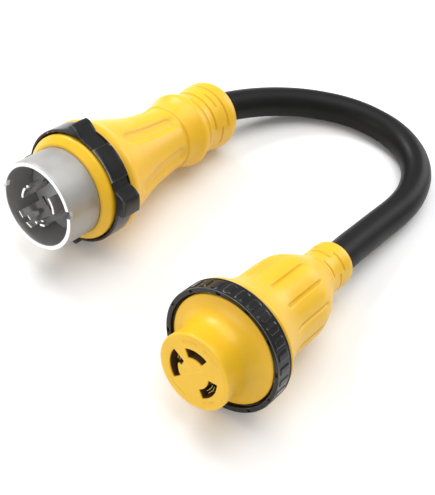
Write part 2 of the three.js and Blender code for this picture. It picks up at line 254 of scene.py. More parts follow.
def in_arc(angle, low, high):
    middle = (low + high) / 2
    return abs((angle - middle + 180) % 360 - 180) < (high - low) / 2


def finished(name, bm, placement, material, crease=40):
    """Puts a shape in its place and makes it a smooth-shaded object."""
    bmesh.ops.transform(bm, matrix=placement, verts=bm.verts)
    bmesh.ops.recalc_face_normals(bm, faces=bm.faces)
    mesh = bpy.data.meshes.new(name)
    bm.to_mesh(mesh)
    bm.free()
    mesh.shade_smooth()
    mesh.set_sharp_from_angle(angle=math.radians(crease))
    mesh.materials.append(material)
    piece = bpy.data.objects.new(name, mesh)
    bpy.context.scene.collection.objects.link(piece)
    return piece


def stand_for(piece, body, slot, *nodes):
    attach(piece, body)
    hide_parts(*nodes)


# ---------------------------------------------------------------------------- materials


def new_group(name, inputs, outputs):
    group = bpy.data.node_groups.new(name, "ShaderNodeTree")
    for socket, kind, default in inputs:
        item = group.interface.new_socket(socket, in_out="INPUT", socket_type=kind)
        if default is not None:
            item.default_value = default
    for socket, kind in outputs:
        group.interface.new_socket(socket, in_out="OUTPUT", socket_type=kind)
    return group


def add_node(tree, kind, values=None, **settings):
    node = tree.nodes.new(kind)
    for key, value in settings.items():
        setattr(node, key, value)
    for key, value in (values or {}).items():
        node.inputs[key].default_value = value
    return node


def grain_group():
    """Fine moulded grain for the bump and a soft mottle for colour and roughness."""
    name = "Moulded grain"
    if name in bpy.data.node_groups:
        return bpy.data.node_groups[name]
    group = new_group(
        name,
        [
            ("Vector", "NodeSocketVector", None),
            ("Grain", "NodeSocketFloat", 3000.0),
            ("Mottle", "NodeSocketFloat", 45.0),
        ],
        [("Height", "NodeSocketFloat"), ("Tone", "NodeSocketFloat")],
    )
    link = group.links.new
    source = add_node(group, "NodeGroupInput")
    sink = add_node(group, "NodeGroupOutput")
    fine = add_node(group, "ShaderNodeTexNoise", {"Detail": 2.0, "Roughness": 0.55})
    pits = add_node(group, "ShaderNodeTexVoronoi")
    soft = add_node(group, "ShaderNodeTexNoise", {"Detail": 4.0, "Roughness": 0.6})
    blend = add_node(group, "ShaderNodeMath", operation="MULTIPLY_ADD")
    blend.inputs[1].default_value = 0.35
    for node, scale in ((fine, "Grain"), (pits, "Grain"), (soft, "Mottle")):
        link(source.outputs["Vector"], node.inputs["Vector"])
        link(source.outputs[scale], node.inputs["Scale"])
    link(pits.outputs["Distance"], blend.inputs[0])
    link(fine.outputs["Fac"], blend.inputs[2])
    link(blend.outputs[0], sink.inputs["Height"])
    link(soft.outputs["Fac"], sink.inputs["Tone"])
    return group


def edge_group():
    """Masks for painted highlights on edges, broken into patches, and for painted shade in creases."""
    name = "Edges and creases"
    if name in bpy.data.node_groups:
        return bpy.data.node_groups[name]
    group = new_group(
        name,
        [("Vector", "NodeSocketVector", None)],
        [("Edge", "NodeSocketFloat"), ("Crease", "NodeSocketFloat")],
    )
    link = group.links.new
    source = add_node(group, "NodeGroupInput")
    sink = add_node(group, "NodeGroupOutput")
    geometry = add_node(group, "ShaderNodeNewGeometry")
    # Pointiness picks out convex edges for the painted highlight and concave creases for the painted shade.
    edge = add_node(group, "ShaderNodeMapRange", {"From Min": 0.52, "From Max": 0.6})
    crease = add_node(group, "ShaderNodeMapRange", {"From Min": 0.485, "From Max": 0.43})
    patches = add_node(group, "ShaderNodeTexNoise", {"Scale": 220.0, "Detail": 4.0})
    broken = add_node(group, "ShaderNodeMath", operation="MULTIPLY")
    link(source.outputs["Vector"], patches.inputs["Vector"])
    link(geometry.outputs["Pointiness"], edge.inputs["Value"])
    link(geometry.outputs["Pointiness"], crease.inputs["Value"])
    link(edge.outputs[0], broken.inputs[0])
    link(patches.outputs["Fac"], broken.inputs[1])
    link(broken.outputs[0], sink.inputs["Edge"])
    link(crease.outputs[0], sink.inputs["Crease"])
    return group


def mixed(tree, factor, first, second):
    """A colour mix; each input is a socket or a colour."""
    node = add_node(tree, "ShaderNodeMix", data_type="RGBA")
    for socket, value in ((node.inputs[0], factor), (node.inputs[6], first), (node.inputs[7], second)):
        if isinstance(value, bpy.types.NodeSocket):
            tree.links.new(value, socket)
        else:
            socket.default_value = value
    return node.outputs[2]


def ranged(tree, source, low, high):
    span = {"From Min": 0.3, "From Max": 0.7, "To Min": low, "To Max": high}
    node = add_node(tree, "ShaderNodeMapRange", span)
    tree.links.new(source, node.inputs["Value"])
    return node.outputs[0]


def scaled(tree, source, factor):
    node = add_node(tree, "ShaderNodeMath", operation="MULTIPLY")
    node.inputs[1].default_value = factor
    tree.links.new(source, node.inputs[0])
    return node.outputs[0]


def shaded(colour, factor):
    return (*(min(1.0, channel * factor) for channel in colour[:3]), 1.0)


def moulded(name, colour, roughness, grain=3000.0, depth=0.1, edge_highlight=0.3, pale=None, crease_shade=0.5, shine=0.5):
    """Moulded plastic or rubber: mottle, grain, painted highlights on edges and painted shade in creases."""
    if name in bpy.data.materials:
        return bpy.data.materials[name]
    material = bpy.data.materials.new(name)
    material.use_nodes = True
    tree = material.node_tree
    link = tree.links.new
    shader = tree.nodes["Principled BSDF"]
    shader.inputs["IOR"].default_value = 1.48
    shader.inputs["Specular IOR Level"].default_value = shine
    place = add_node(tree, "ShaderNodeTexCoord")
    texture = add_node(tree, "ShaderNodeGroup", {}, node_tree=grain_group())
    texture.inputs["Grain"].default_value = grain
    edges = add_node(tree, "ShaderNodeGroup", {}, node_tree=edge_group())
    link(place.outputs["Object"], texture.inputs["Vector"])
    link(place.outputs["Object"], edges.inputs["Vector"])
    mottle = ranged(tree, texture.outputs["Tone"], 0.0, 1.0)
    tone = mixed(tree, mottle, shaded(colour, 0.95), shaded(colour, 1.04))
    # Painted shade: creases darkened towards 0.62 of the colour by the crease mask.
    crease_shaded = mixed(tree, scaled(tree, edges.outputs["Crease"], crease_shade), tone, shaded(colour, 0.62))
    # Painted highlight: convex edges lightened towards a pale colour, in patches.
    highlighted = mixed(tree, scaled(tree, edges.outputs["Edge"], edge_highlight), crease_shaded, pale or shaded(colour, 1.5))
    link(highlighted, shader.inputs["Base Color"])
    polish = ranged(tree, texture.outputs["Tone"], roughness - 0.04, roughness + 0.05)
    link(polish, shader.inputs["Roughness"])
    relief = add_node(tree, "ShaderNodeBump", {"Strength": depth, "Distance": 0.0002})
    link(texture.outputs["Height"], relief.inputs["Height"])
    link(relief.outputs["Normal"], shader.inputs["Normal"])
    return material


def plated(name, colour, roughness, placement=None, depth=0.12, metallic=1.0):
    """Plated metal with painted highlights on its edges; with a placement it has fine turning rings and a
    painted highlight on its front rim.
    """
    if name in bpy.data.materials:
        return bpy.data.materials[name]
    material = bpy.data.materials.new(name)
    material.use_nodes = True
    tree = material.node_tree
    link = tree.links.new
    shader = tree.nodes["Principled BSDF"]
    shader.inputs["Metallic"].default_value = metallic
    place = add_node(tree, "ShaderNodeTexCoord")
    texture = add_node(tree, "ShaderNodeGroup", {}, node_tree=grain_group())
    texture.inputs["Grain"].default_value = 1800.0
    edges = add_node(tree, "ShaderNodeGroup", {}, node_tree=edge_group())
    link(place.outputs["Object"], texture.inputs["Vector"])
    link(place.outputs["Object"], edges.inputs["Vector"])
    mottle = ranged(tree, texture.outputs["Tone"], 0.0, 1.0)
    tone = mixed(tree, mottle, shaded(colour, 0.93), shaded(colour, 1.03))
    # Painted highlight: edges lightened to 1.3 times the colour, in patches.
    highlighted = mixed(tree, scaled(tree, edges.outputs["Edge"], 0.5), tone, shaded(colour, 1.3))
    link(highlighted, shader.inputs["Base Color"])
    polish = ranged(tree, texture.outputs["Tone"], roughness - 0.05, roughness + 0.06)
    link(polish, shader.inputs["Roughness"])
    relief = add_node(tree, "ShaderNodeBump", {"Strength": depth, "Distance": 0.0001})
    if placement is None:
        link(texture.outputs["Height"], relief.inputs["Height"])
    else:
        turn = add_node(tree, "ShaderNodeMapping", vector_type="TEXTURE")
        turn.inputs["Location"].default_value = placement.translation
        turn.inputs["Rotation"].default_value = placement.to_euler()
        split = add_node(tree, "ShaderNodeSeparateXYZ")
        rings = add_node(tree, "ShaderNodeTexNoise", {"Scale": 5200.0, "Detail": 3.0}, noise_dimensions="1D")
        link(place.outputs["Object"], turn.inputs["Vector"])
        link(turn.outputs["Vector"], split.inputs["Vector"])
        link(split.outputs["Y"], rings.inputs["W"])
        link(rings.outputs["Fac"], relief.inputs["Height"])
        # Painted highlight: the cut mask paints the front rim near white, where the rim catches light.
        cut = add_node(tree, "ShaderNodeMapRange", {"From Min": 0.00012, "From Max": 0.00002})
        link(split.outputs["Y"], cut.inputs["Value"])
        link(mixed(tree, cut.outputs[0], highlighted, (0.97, 0.97, 0.97, 1)), shader.inputs["Base Color"])
    link(relief.outputs["Normal"], shader.inputs["Normal"])
    return material


def cord_rubber(colour, roughness):
    """Extruded jacket: faint lines along the cord, a soft mottle and light scuffs."""
    name = "cord rubber"
    if name in bpy.data.materials:
        return bpy.data.materials[name]
    material = moulded(name, colour, roughness, grain=2600.0, depth=0.05, edge_highlight=0.0, crease_shade=0.0, shine=0.16)
    tree = material.node_tree
    link = tree.links.new
    shader = tree.nodes["Principled BSDF"]
    own_map = add_node(tree, "ShaderNodeUVMap", uv_map="wrap")
    stretch = add_node(tree, "ShaderNodeMapping")
    stretch.inputs["Scale"].default_value = (60.0, 6.0, 1.0)
    lines = add_node(tree, "ShaderNodeTexNoise", {"Scale": 1.0, "Detail": 3.0, "Roughness": 0.6})
    fibres = add_node(tree, "ShaderNodeBump", {"Strength": 0.12, "Distance": 0.0003})
    fine = next(node for node in tree.nodes if node.bl_idname == "ShaderNodeBump")
    link(own_map.outputs["UV"], stretch.inputs["Vector"])
    link(stretch.outputs["Vector"], lines.inputs["Vector"])
    link(lines.outputs["Fac"], fibres.inputs["Height"])
    link(fine.outputs["Normal"], fibres.inputs["Normal"])
    link(fibres.outputs["Normal"], shader.inputs["Normal"])
    return material


def finish_for(key):
    """The material of each of the adapter's finishes."""
    look = bpy.context.scene.adapter_finish
    makers = {
        # The pale colours of the yellow, black and insert finishes are painted edge highlights; the weights
        # before and after them set the painted edge highlight and the painted crease shade.
        "yellow": lambda: moulded(
            "yellow vinyl", look.yellow, 0.38, 2400.0, 0.05, 0.25, (1.0, 0.74, 0.16, 1), 0.7, 0.5
        ),
        "black": lambda: moulded(
            "black nylon", look.black, 0.2, 2200.0, 0.04, 1.0, (0.45, 0.45, 0.46, 1), 0.4, 0.35
        ),
        "cord": lambda: cord_rubber(look.cord, 0.42),
        # The sleeve's finish paints a highlight on its front rim.
        "sleeve": lambda: plated("satin plated steel", look.sleeve, 0.46, PLUG, metallic=0.6),
        "nickel": lambda: plated("bright nickel", (0.86, 0.85, 0.82, 1), 0.2),
        "brass": lambda: plated("contact brass", (0.55, 0.42, 0.16, 1), 0.35),
        "clamp": lambda: plated("clamp steel", (0.6, 0.6, 0.6, 1), 0.4),
        "insert": lambda: moulded(
            "grey insert", (0.24, 0.24, 0.245, 1), 0.65, 1800.0, 0.12, 0.3, (0.35, 0.35, 0.36, 1)
        ),
        # The dark carrier colour is the inner pieces' own colour; on the slot block it is painted shade.
        "carrier": lambda: moulded("dark carrier", (0.10, 0.045, 0.02, 1), 0.5, 1800.0, 0.1),
        "washer": lambda: moulded("washer rubber", (0.02, 0.02, 0.022, 1), 0.7, 2600.0, 0.15),
        "lead black": lambda: moulded("lead black", (0.02, 0.02, 0.02, 1), 0.4, 2600.0, 0.05),
        "lead white": lambda: moulded("lead white", (0.78, 0.78, 0.74, 1), 0.4, 2600.0, 0.05),
        "lead green": lambda: moulded("lead green", (0.04, 0.28, 0.08, 1), 0.4, 2600.0, 0.05),
    }
    return makers[key]()


# --------------------------------------------------------------------------- the plug


def sleeve_shape(sizes):
    """The steel sleeve round the blades, with two key notches in its rim."""
    outer = sizes.sleeve_radius / MM
    inner = outer - 3.1
    notch, middle, back = 2.6, 14, 44.3
    outline = [
        (inner, notch), (inner, middle), (inner, back), (outer, back), (outer, middle), (outer, notch)
    ]
    bm = turned(outline, 120)
    keys = ((-93, -84), (63, 72))

    def rim(face):
        _, along, angle = polar(face.calc_center_median())
        return abs(along - notch) < 0.01 and not any(in_arc(angle, *key) for key in keys)

    pushed(bm, rim, -notch)
    return bevelled(bm, sharp_edges(bm, 50), 0.6, 3)


def blade_shape(radius, low, high, notch):
    """A curved blade with a notch near one end of its tip."""
    inner, outer = (radius - 0.8, radius + 0.8) if radius < 15 else (radius - 0.5, radius + 0.5)
    step = 2
    low, high = (round(value / step) * step for value in (low, high))
    notched, tail = 5.0, 46.9
    outline = [(inner, notched), (inner, tail), (outer, tail), (outer, notched)]
    bm = turned(outline, (high - low) // step, start=low, sweep=high - low)

    def tip(face):
        _, along, angle = polar(face.calc_center_median())
        in_notch = notch is not None and in_arc(angle, notch - 5, notch + 5)
        return abs(along - notched) < 0.01 and not in_notch

    pushed(bm, tip, -3.5)
    return bevelled(bm, sharp_edges(bm, 50), 0.3, 2)


def plug_body_outline():
    flare = flowing(
        [
            (37.75, 49), (36.9, 51.4), (35.3, 54.8), (33.3, 61), (31.6, 67), (29.9, 72.5),
            (28.2, 78), (26.6, 84),
        ],
        8,
    )[:-1] + flowing([(26.6, 84), (25.3, 90.5), (24.2, 97), (23.2, 104), (22.3, 112)], 8)
    bead = flowing(
        [
            (21.9, 119.2), (22.6, 119.9), (23.0, 122.5), (23.7, 126.5), (24.8, 130), (25.9, 133),
            (26.1, 135.4), (25.6, 137.6), (24.7, 139.4),
        ],
        5,
    )
    # rounded closes its list, so the last corner leaves a thin lip that folds forward.
    front = rounded(
        [
            (28.7, 32), (28.7, 25.2), (30.4, 25.2, 0.8), (34.4, 29.4, 1.3), (34.4, 33.0, 0.4),
            (31.0, 33.3), (31.0, 45.9), (37.75, 45.9, 1.4),
        ],
        4,
    )
    return [*front, *flare, (21.9, 115.5), (21.75, 118.7), *bead, (12.5, 139.4), (12.5, 120), (28.7, 56)]


def grip_hollow(radius, along, angle):
    """Depth of the six grip hollows in the plug's flared body."""
    side = abs(from_nearest(angle, 20, 60)) * math.radians(1) * radius
    run = smoothstep(along, 54, 66) * (1 - smoothstep(along, 113, 118.5))
    edge = 5.9 * (0.35 + 0.65 * run)
    trough = 1 - smoothstep(side, edge - 3.4, edge)
    return 2.0 * trough * run


def plug_body_shape():
    bm = turned(plug_body_outline(), 240)

    def change(radius, along, angle):
        if radius < 20.5 or not 47 < along < 119.5:
            return radius, along
        return radius - grip_hollow(radius, along, angle), along

    return reshaped(bm, change)


def slotted(along, angle, rows, depth):
    """Depth of the slots that let a strain relief bend; the rows repeat at half a turn."""
    deepest = 0.0
    for row, low, high in rows:
        across = 1 - smoothstep(abs(along - row), 0.25, 0.95)
        if not across:
            continue
        middle, half = (low + high) / 2, (high - low) / 2
        around = 1 - smoothstep(abs(from_nearest(angle, middle, 180)), half - 5, half)
        deepest = max(deepest, depth * across * around)
    return deepest


def relief_shape(profile, rows, hole, depth):
    """A slotted strain relief with a hole for the cord."""
    smooth = flowing(profile, 24)
    front, end = smooth[0][1], smooth[-1][1]
    outside = []
    i = 0
    for along in evenly(front, end, 0.28):
        while i < len(smooth) - 2 and smooth[i + 1][1] < along:
            i += 1
        (r0, a0), (r1, a1) = smooth[i], smooth[i + 1]
        outside.append((r0 + (r1 - r0) * (along - a0) / (a1 - a0), along))
    lip = [(outside[-1][0] - 0.9, end + 0.35), (hole + 0.9, end + 0.4), (hole, end - 0.4)]
    bm = turned([*outside, *lip, (hole, front + 3), (hole + 1.6, front + 2), (hole + 1.6, front)], 180)

    def change(radius, along, angle):
        if radius < hole + 2.5:
            return radius, along
        return radius - slotted(along, angle, rows, depth), along

    return reshaped(bm, change)


def lobe_radius(angle):
    """Outside of the plug's ring: two finger saddles, each between steep-backed lobes."""
    turn = (angle + 14.5) % 180 - 14.5
    if turn < -13.6 or turn > 85.4:
        edge = min(abs(turn + 14.0), abs(turn - 85.5), abs(turn - 166))
        return 37.4 + 0.25 * (1 - smoothstep(edge, 0, 3))
    if turn < 4:
        return 36.2 + 6.0 * (1 - smoothstep(turn, -12, 3.5))
    if turn > 59:
        return 36.2 + 6.4 * smoothstep(turn, 59.5, 72)
    pad = bump(turn, 17, 52, 1.2)
    return 36.1 + 0.9 * pad


def plug_ring_shape():
    inner, bore = 34.9, 31.4
    outline = rounded(
        [
            (inner, 32.4), (35.9, 31.1, 0.2), (38, 31.1, 0.9), (38, 34), (38, 38), (38, 42.5),
            (38, 45.5, 0.9), (bore, 45.5, 0.5), (bore, 42.0), (inner, 42.0),
        ],
        4,
    )
    bm = turned(outline, 360)

    def change(radius, along, angle):
        if radius < 36.6:
            return radius, along
        outside = lobe_radius(angle)
        return radius + (outside - 38) * smoothstep(radius, 36.5, 37.1), along

    return reshaped(bm, change)


# ---------------------------------------------------------------------- the connector

SLOTS = (
    ("ground", 10.6, 16.4, -141, -69),
    ("ground hook", 7.9, 10.6, -96, -69),
    ("line", 9.0, 14.7, -39, 21),
    ("neutral", 10.0, 15.8, 75, 141),
)
# Radii of the rings of points across the face; 0.55 and 0.95 only divide its middle.
FACE_RADII = (0.0, 0.55, 0.95, 7.9, 9.0, 10.0, 10.6, 14.7, 15.8, 16.4)
SKIN_BACK = -22.7
BLOCK_RADIUS = 17.4


def cut_slots(bm, front, back):
    """Cuts the three slots through a disc between two flat faces and softens their edges."""

    def in_slot(face, level):
        radius, along, angle = polar(face.calc_center_median())
        if abs(along - level) > 0.01:
            return False
        return any(
            inner < radius < outer and in_arc(angle, low, high)
            for _, inner, outer, low, high in SLOTS
        )

    bmesh.ops.delete(bm, geom=[f for f in bm.faces if in_slot(f, back)], context="FACES")
    caps = pushed(bm, lambda f: in_slot(f, front), back - front)
    bmesh.ops.delete(bm, geom=caps, context="FACES_ONLY")
    bmesh.ops.remove_doubles(bm, verts=bm.verts, dist=1e-3)
    loose = [edge for edge in bm.edges if not edge.link_faces]
    bmesh.ops.delete(bm, geom=loose, context="EDGES")

    def upright(edge):
        a, b = (vert.co for vert in edge.verts)
        same_spot = math.hypot(a.x - b.x, a.z - b.z) < 0.05
        return same_spot and abs(abs(a.y - b.y) - (back - front)) < 0.01 and polar(a)[0] < 17

    bevelled(bm, [edge for edge in sharp_edges(bm, 50) if upright(edge)], 0.6, 3)

    def mouth(edge):
        a, b = (vert.co for vert in edge.verts)
        return abs(a.y - front) < 0.01 and abs(b.y - front) < 0.01 and 7 < polar(a)[0] < 17

    return bevelled(bm, [edge for edge in sharp_edges(bm, 50) if mouth(edge)], 0.2, 2)


def connector_front_shape():
    """The round nose, a thin slotted face, and the flange behind it."""
    face, wall = -23.5, -17.5
    neck = flowing(
        [
            (23.5, -21), (23.3, -18.5), (22.85, -15), (22.7, -11), (22.95, -8), (23.9, -5),
            (25.8, -2.3), (28.6, -0.2), (31.6, 1.0),
        ],
        4,
    )
    front = [(radius, face) for radius in (*FACE_RADII, 20.3)]
    lip = face + 0.18
    rim = rounded([(21.2, face), (21.6, lip), (22.0, lip), (23.6, face + 0.12, 1.5), (23.5, -21)], 5)[:-1]
    flange = rounded(
        [(31.6, 1.0), (34.3, 1.5, 0.7), (34.3, 3.9, 0.3), (31.0, 4.2), (31.0, 12.5), (20.3, 12.5)], 3
    )[1:]
    inside = [(20.3, wall), (BLOCK_RADIUS, wall), (BLOCK_RADIUS, SKIN_BACK)]
    skin = [(radius, SKIN_BACK) for radius in reversed(FACE_RADII)]
    bm = turned([*front, *rim, *neck, *flange, *inside, *skin], 120, closed=False)
    return cut_slots(bm, face, SKIN_BACK)


def slot_shade_block_shape():
    """The dark block right behind the nose's face, slotted like it; its dark brown on the slot walls is
    painted shade inside the slots.
    """
    front, back = SKIN_BACK + 0.05, -17.6
    radii = (*FACE_RADII, BLOCK_RADIUS - 0.1)
    outline = [(radius, front) for radius in radii] + [(radius, back) for radius in reversed(radii)]
    return cut_slots(turned(outline, 120, closed=False), front, back)


def contact_jaws_shape():
    """The thin brass jaws that show inside the three slots."""
    jaws = bmesh.new()
    back, half_gap, half_thickness = -16.8, 0.75, 0.2
    for radius, low, high, front in ((12.9, 92, 124, -21.6), (11.9, -94, -72, -21.4), (12.0, -12, 10, -20.4)):
        for side in (-half_gap, half_gap):
            inner = radius + side - half_thickness
            outer = radius + side + half_thickness
            ends = ((inner, front), (inner, back), (outer, back), (outer, front))
            leaf = turned(ends, (high - low) // 2, start=low, sweep=high - low)
            mesh = bpy.data.meshes.new("leaf")
            leaf.to_mesh(mesh)
            leaf.free()
            jaws.from_mesh(mesh)
            bpy.data.meshes.remove(mesh)
    return bevelled(jaws, sharp_edges(jaws, 50), 0.08, 1)


def face_marks_shape():
    """Small raised ticks round the nose's face, where makers put their ratings."""
    bm = bmesh.new()
    widths = (1.5, 0.7, 1.1, 1.5, 0.5, 1.3, 0.9, 1.5, 0.7, 1.2)
    for start, count in ((-38, 9), (4, 10), (118, 8), (186, 10)):
        angle = start
        for i in range(count):
            width = widths[(i * 3 + count) % len(widths)]
            made = bmesh.ops.create_cube(bm, size=1.0)["verts"]
            bmesh.ops.scale(bm, verts=made, vec=(width * 0.7, 0.3, 1.4))
            bmesh.ops.translate(bm, verts=made, vec=(0, -23.55, 18.9))
            turn = Matrix.Rotation(math.radians(angle), 3, "Y")
            bmesh.ops.rotate(bm, verts=made, cent=(0, 0, 0), matrix=turn)
            angle += 3.6
    return bevelled(bm, list(bm.edges), 0.07, 1)


def connector_body_shape():
    outside = flowing(
        [
            (37.7, 13.7), (37.95, 14.7), (37.5, 16.0), (36.3, 17.6), (34.8, 19.8), (33.3, 22.6),
            (31.9, 26), (30.3, 30.6), (29.0, 36), (28.3, 42), (28.15, 49), (28.15, 56), (28.15, 62),
            (27.9, 66.5), (26.9, 70.8), (25.3, 75), (22.4, 81), (19.3, 87), (17.1, 91.6),
        ],
        5,
    )
    bm = turned([(20.3, 12.9), (37.2, 12.9), *outside, (12.4, 91.6), (12.4, 82), (20.3, 58)], 360)

    def change(radius, along, angle):
        if radius < 20.5 or not 28 < along < 80:
            return radius, along
        side = abs(from_nearest(angle, 0, 30))
        run = bump(along, 37, 67.5, 4)
        groove = 1 - smoothstep(side, 0.8, 3.4)
        flat = (1 - smoothstep(side, 3, 14)) * 0.35 * bump(along, 42, 66, 9)
        return radius - 1.1 * groove * run - flat, along

    return reshaped(bm, change)


def connector_ring_shape():
    """The round locking ring: pads round it and small notches in its front."""
    inner, bore, outer = 34.8, 31.4, 38.9
    corners = [
        (inner, 3.0), (35.7, 2.4, 0.2), (35.8, 0.2, 0.3), (36.3, 0), (36.5, 0), (38.0, 0), (38.2, 0),
        (outer, 0, 0.5),
    ]
    side = [(outer, along) for along in evenly(1.0, 11.4, 0.4)]
    rest = [(outer, 12.4, 0.7), (bore, 12.4, 0.4), (bore, 9.4), (inner, 9.4)]
    bm = turned(rounded([*corners, *side, *rest], 3), 480)

    def change(radius, along, angle):
        if radius > 38.85:
            across = abs(from_nearest(angle, -2.5, 12)) * math.radians(1) * outer
            reach = math.hypot(max(across - 1.2, 0), max(abs(along - 6.3) - 2.9, 0))
            pad = 1 - smoothstep(reach, 0.9, 1.35)
            return radius - 0.55 + 0.55 * pad, along
        notch = abs(from_nearest(angle, 10.5, 30)) < 1.6
        if notch and along < 0.01 and 36.4 < radius < 38.1:
            return radius, 0.9
        return radius, along

    return reshaped(bm, change)


# ---------------------------------------------------------------------------- the cord


def centripetal(points, samples):
    """Even points on the smooth curve through a list of points."""
    ends = [points[0] * 2 - points[1], *points, points[-1] * 2 - points[-2]]
    dense = []
    for p0, p1, p2, p3 in zip(ends, ends[1:], ends[2:], ends[3:]):
        t1 = (p1 - p0).length ** 0.5
        t2 = t1 + (p2 - p1).length ** 0.5
        t3 = t2 + (p3 - p2).length ** 0.5
        for step in range(12):
            t = t1 + (t2 - t1) * step / 12
            a1 = p0.lerp(p1, t / t1)
            a2 = p1.lerp(p2, (t - t1) / (t2 - t1))
            a3 = p2.lerp(p3, (t - t2) / (t3 - t2))
            b1 = a1.lerp(a2, t / t2)
            b2 = a2.lerp(a3, (t - t1) / (t3 - t1))
            dense.append(b1.lerp(b2, (t - t1) / (t2 - t1)))
    dense.append(points[-1])
    lengths = [0.0]
    for a, b in zip(dense, dense[1:]):
        lengths.append(lengths[-1] + (b - a).length)
    even = []
    i = 0
    for step in range(samples + 1):
        goal = lengths[-1] * step / samples
        while i < len(lengths) - 2 and lengths[i + 1] < goal:
            i += 1
        even.append(dense[i].lerp(dense[i + 1], (goal - lengths[i]) / (lengths[i + 1] - lengths[i])))
    return even


def cord_path(samples):
    start = [PLUG @ Vector((0, along, 0)) for along in LEAVES_PLUG]
    end = [CONNECTOR @ Vector((0, along, 0)) for along in MEETS_CONNECTOR]
    return centripetal([*start, *(Vector(point) for point in CORD_ROUTE), *end], samples)


def cord_mesh(path, radius, sides):
    """A tube whose rings turn as little as they can from one to the next."""
    bm = bmesh.new()
    ring = bmesh.ops.create_circle(bm, cap_ends=False, radius=radius, segments=sides)["verts"]
    heading = Vector((0, 0, 1))
    here = Vector((0, 0, 0))
    edges = list({edge for vert in ring for edge in vert.link_edges})
    for i, point in enumerate(path):
        ahead = path[min(i + 1, len(path) - 1)] - path[max(i - 1, 0)]
        ahead.normalize()
        if i:
            made = bmesh.ops.extrude_edge_only(bm, edges=edges)["geom"]
            ring = [item for item in made if isinstance(item, bmesh.types.BMVert)]
            edges = [item for item in made if isinstance(item, bmesh.types.BMEdge)]
        swing = heading.rotation_difference(ahead).to_matrix()
        bmesh.ops.rotate(bm, verts=ring, cent=here, matrix=swing)
        bmesh.ops.translate(bm, verts=ring, vec=point - here)
        heading, here = ahead, point
    bmesh.ops.holes_fill(bm, edges=[edge for edge in bm.edges if edge.is_boundary], sides=0)
    bmesh.ops.recalc_face_normals(bm, faces=bm.faces)
    return bm


def wrap_map(piece, path, length):
    """A map that runs round the cord across and along it upwards, in metres."""
    mesh = piece.data
    layer = mesh.uv_layers.new(name="wrap")
    for polygon in mesh.polygons:
        for loop in polygon.loop_indices:
            point = mesh.vertices[mesh.loops[loop].vertex_index].co
            nearest = min(range(len(path)), key=lambda i: (path[i] - point).length_squared)
            ahead = (path[min(nearest + 1, len(path) - 1)] - path[max(nearest - 1, 0)]).normalized()
            across = ahead.cross(Vector((0, 0, 1))).normalized()
            out = point - path[nearest]
            angle = math.atan2(out.z, out.dot(across))
            layer.data[loop].uv = (abs(angle) / math.pi, nearest / (len(path) - 1) * length)


# --------------------------------------------------------------------- what can be set


class AdapterSizes(bpy.types.PropertyGroup):
    """Sizes that a user would change."""

    sleeve_radius: bpy.props.FloatProperty(
        name="Sleeve radius",
        description="Outside radius of the plug's steel sleeve",
        default=0.0285,
        unit="LENGTH",
    )
    cord_radius: bpy.props.FloatProperty(
        name="Cord radius", description="Radius of the cord's jacket", default=0.0109, unit="LENGTH"
    )
    cord_length: bpy.props.FloatProperty(
        name="Cord length", description="Cord between the two strain reliefs", default=0.333, unit="LENGTH"
    )
    cord_sides: bpy.props.IntProperty(
        name="Cord sides", description="Faces round the cord", default=32, min=8
    )


class AdapterFinish(bpy.types.PropertyGroup):
    """Colours that a user would change."""

    yellow: bpy.props.FloatVectorProperty(
        name="Yellow",
        description="Grips, nose and strain reliefs",
        default=(0.80, 0.47, 0.012, 1),
        size=4,
        subtype="COLOR",
    )
    black: bpy.props.FloatVectorProperty(
        name="Black", description="Locking rings", default=(0.009, 0.009, 0.0095, 1), size=4, subtype="COLOR"
    )
    cord: bpy.props.FloatVectorProperty(
        name="Cord", description="Cord jacket", default=(0.008, 0.008, 0.008, 1), size=4, subtype="COLOR"
    )
    sleeve: bpy.props.FloatVectorProperty(
        name="Sleeve",
        description="Steel sleeve of the plug",
        default=(0.40, 0.395, 0.385, 1),
        size=4,
        subtype="COLOR",
    )


# --------------------------------------------------------------------------- operators


class ADAPTER_OT_sleeve(bpy.types.Operator):
    """Build the plug's steel sleeve"""

    bl_idname = "adapter.sleeve"
    bl_label = "Sleeve and insert"

    def execute(self, context):
        shape = sleeve_shape(context.scene.adapter_sizes)
        sleeve = finished("steel_sleeve", shape, PLUG, finish_for("sleeve"))
        stand_for(sleeve, "adapter", "plated_steel", "plug_shroud")
        return {"FINISHED"}


class ADAPTER_OT_blades(bpy.types.Operator):
    """Build the plug's four curved blades"""

    bl_idname = "adapter.blades"
    bl_label = "Blades"

    def execute(self, context):
        blades = (
            ("line_1", 12.9, -100, -44, -59),
            ("line_2", 12.9, 34, 80, None),
            ("neutral", 12.9, 146, 182, 170),
            ("ground", 19.6, -172, -134, -152),
        )
        for name, radius, low, high, notch in blades:
            shape = blade_shape(radius, low, high, notch)
            blade = finished(f"blade_{name}", shape, PLUG, finish_for("nickel"))
            stand_for(blade, "adapter", "nickel_blade", f"plug_blade_{name}")
        return {"FINISHED"}


class ADAPTER_OT_plug_grip(bpy.types.Operator):
    """Build the plug's flared grip and its strain relief"""

    bl_idname = "adapter.plug_grip"
    bl_label = "Plug grip and relief"

    def execute(self, context):
        grip = finished("plug_grip", plug_body_shape(), PLUG, finish_for("yellow"))
        stand_for(grip, "adapter", "yellow_plastic", "plug_body")
        profile = [
            (24.6, 139.7), (23.2, 142.5), (22.4, 146), (22.5, 150.5), (22.9, 155), (23.5, 160),
            (24.1, 164.5), (24.3, 167.5), (23.8, 170.5), (22.8, 173), (21.2, 174.5),
        ]
        rows = (
            (142.6, -4, 92), (149.8, -45, 73), (156.3, -1, 37), (156.8, 68, 108), (157.2, 120, 144),
            (162.2, -30, 77),
        )
        shape = relief_shape(profile, rows, 11.2, 1.1)
        relief = finished("plug_relief", shape, PLUG, finish_for("yellow"))
        stand_for(relief, "adapter", "yellow_plastic", "plug_strain_relief")
        return {"FINISHED"}


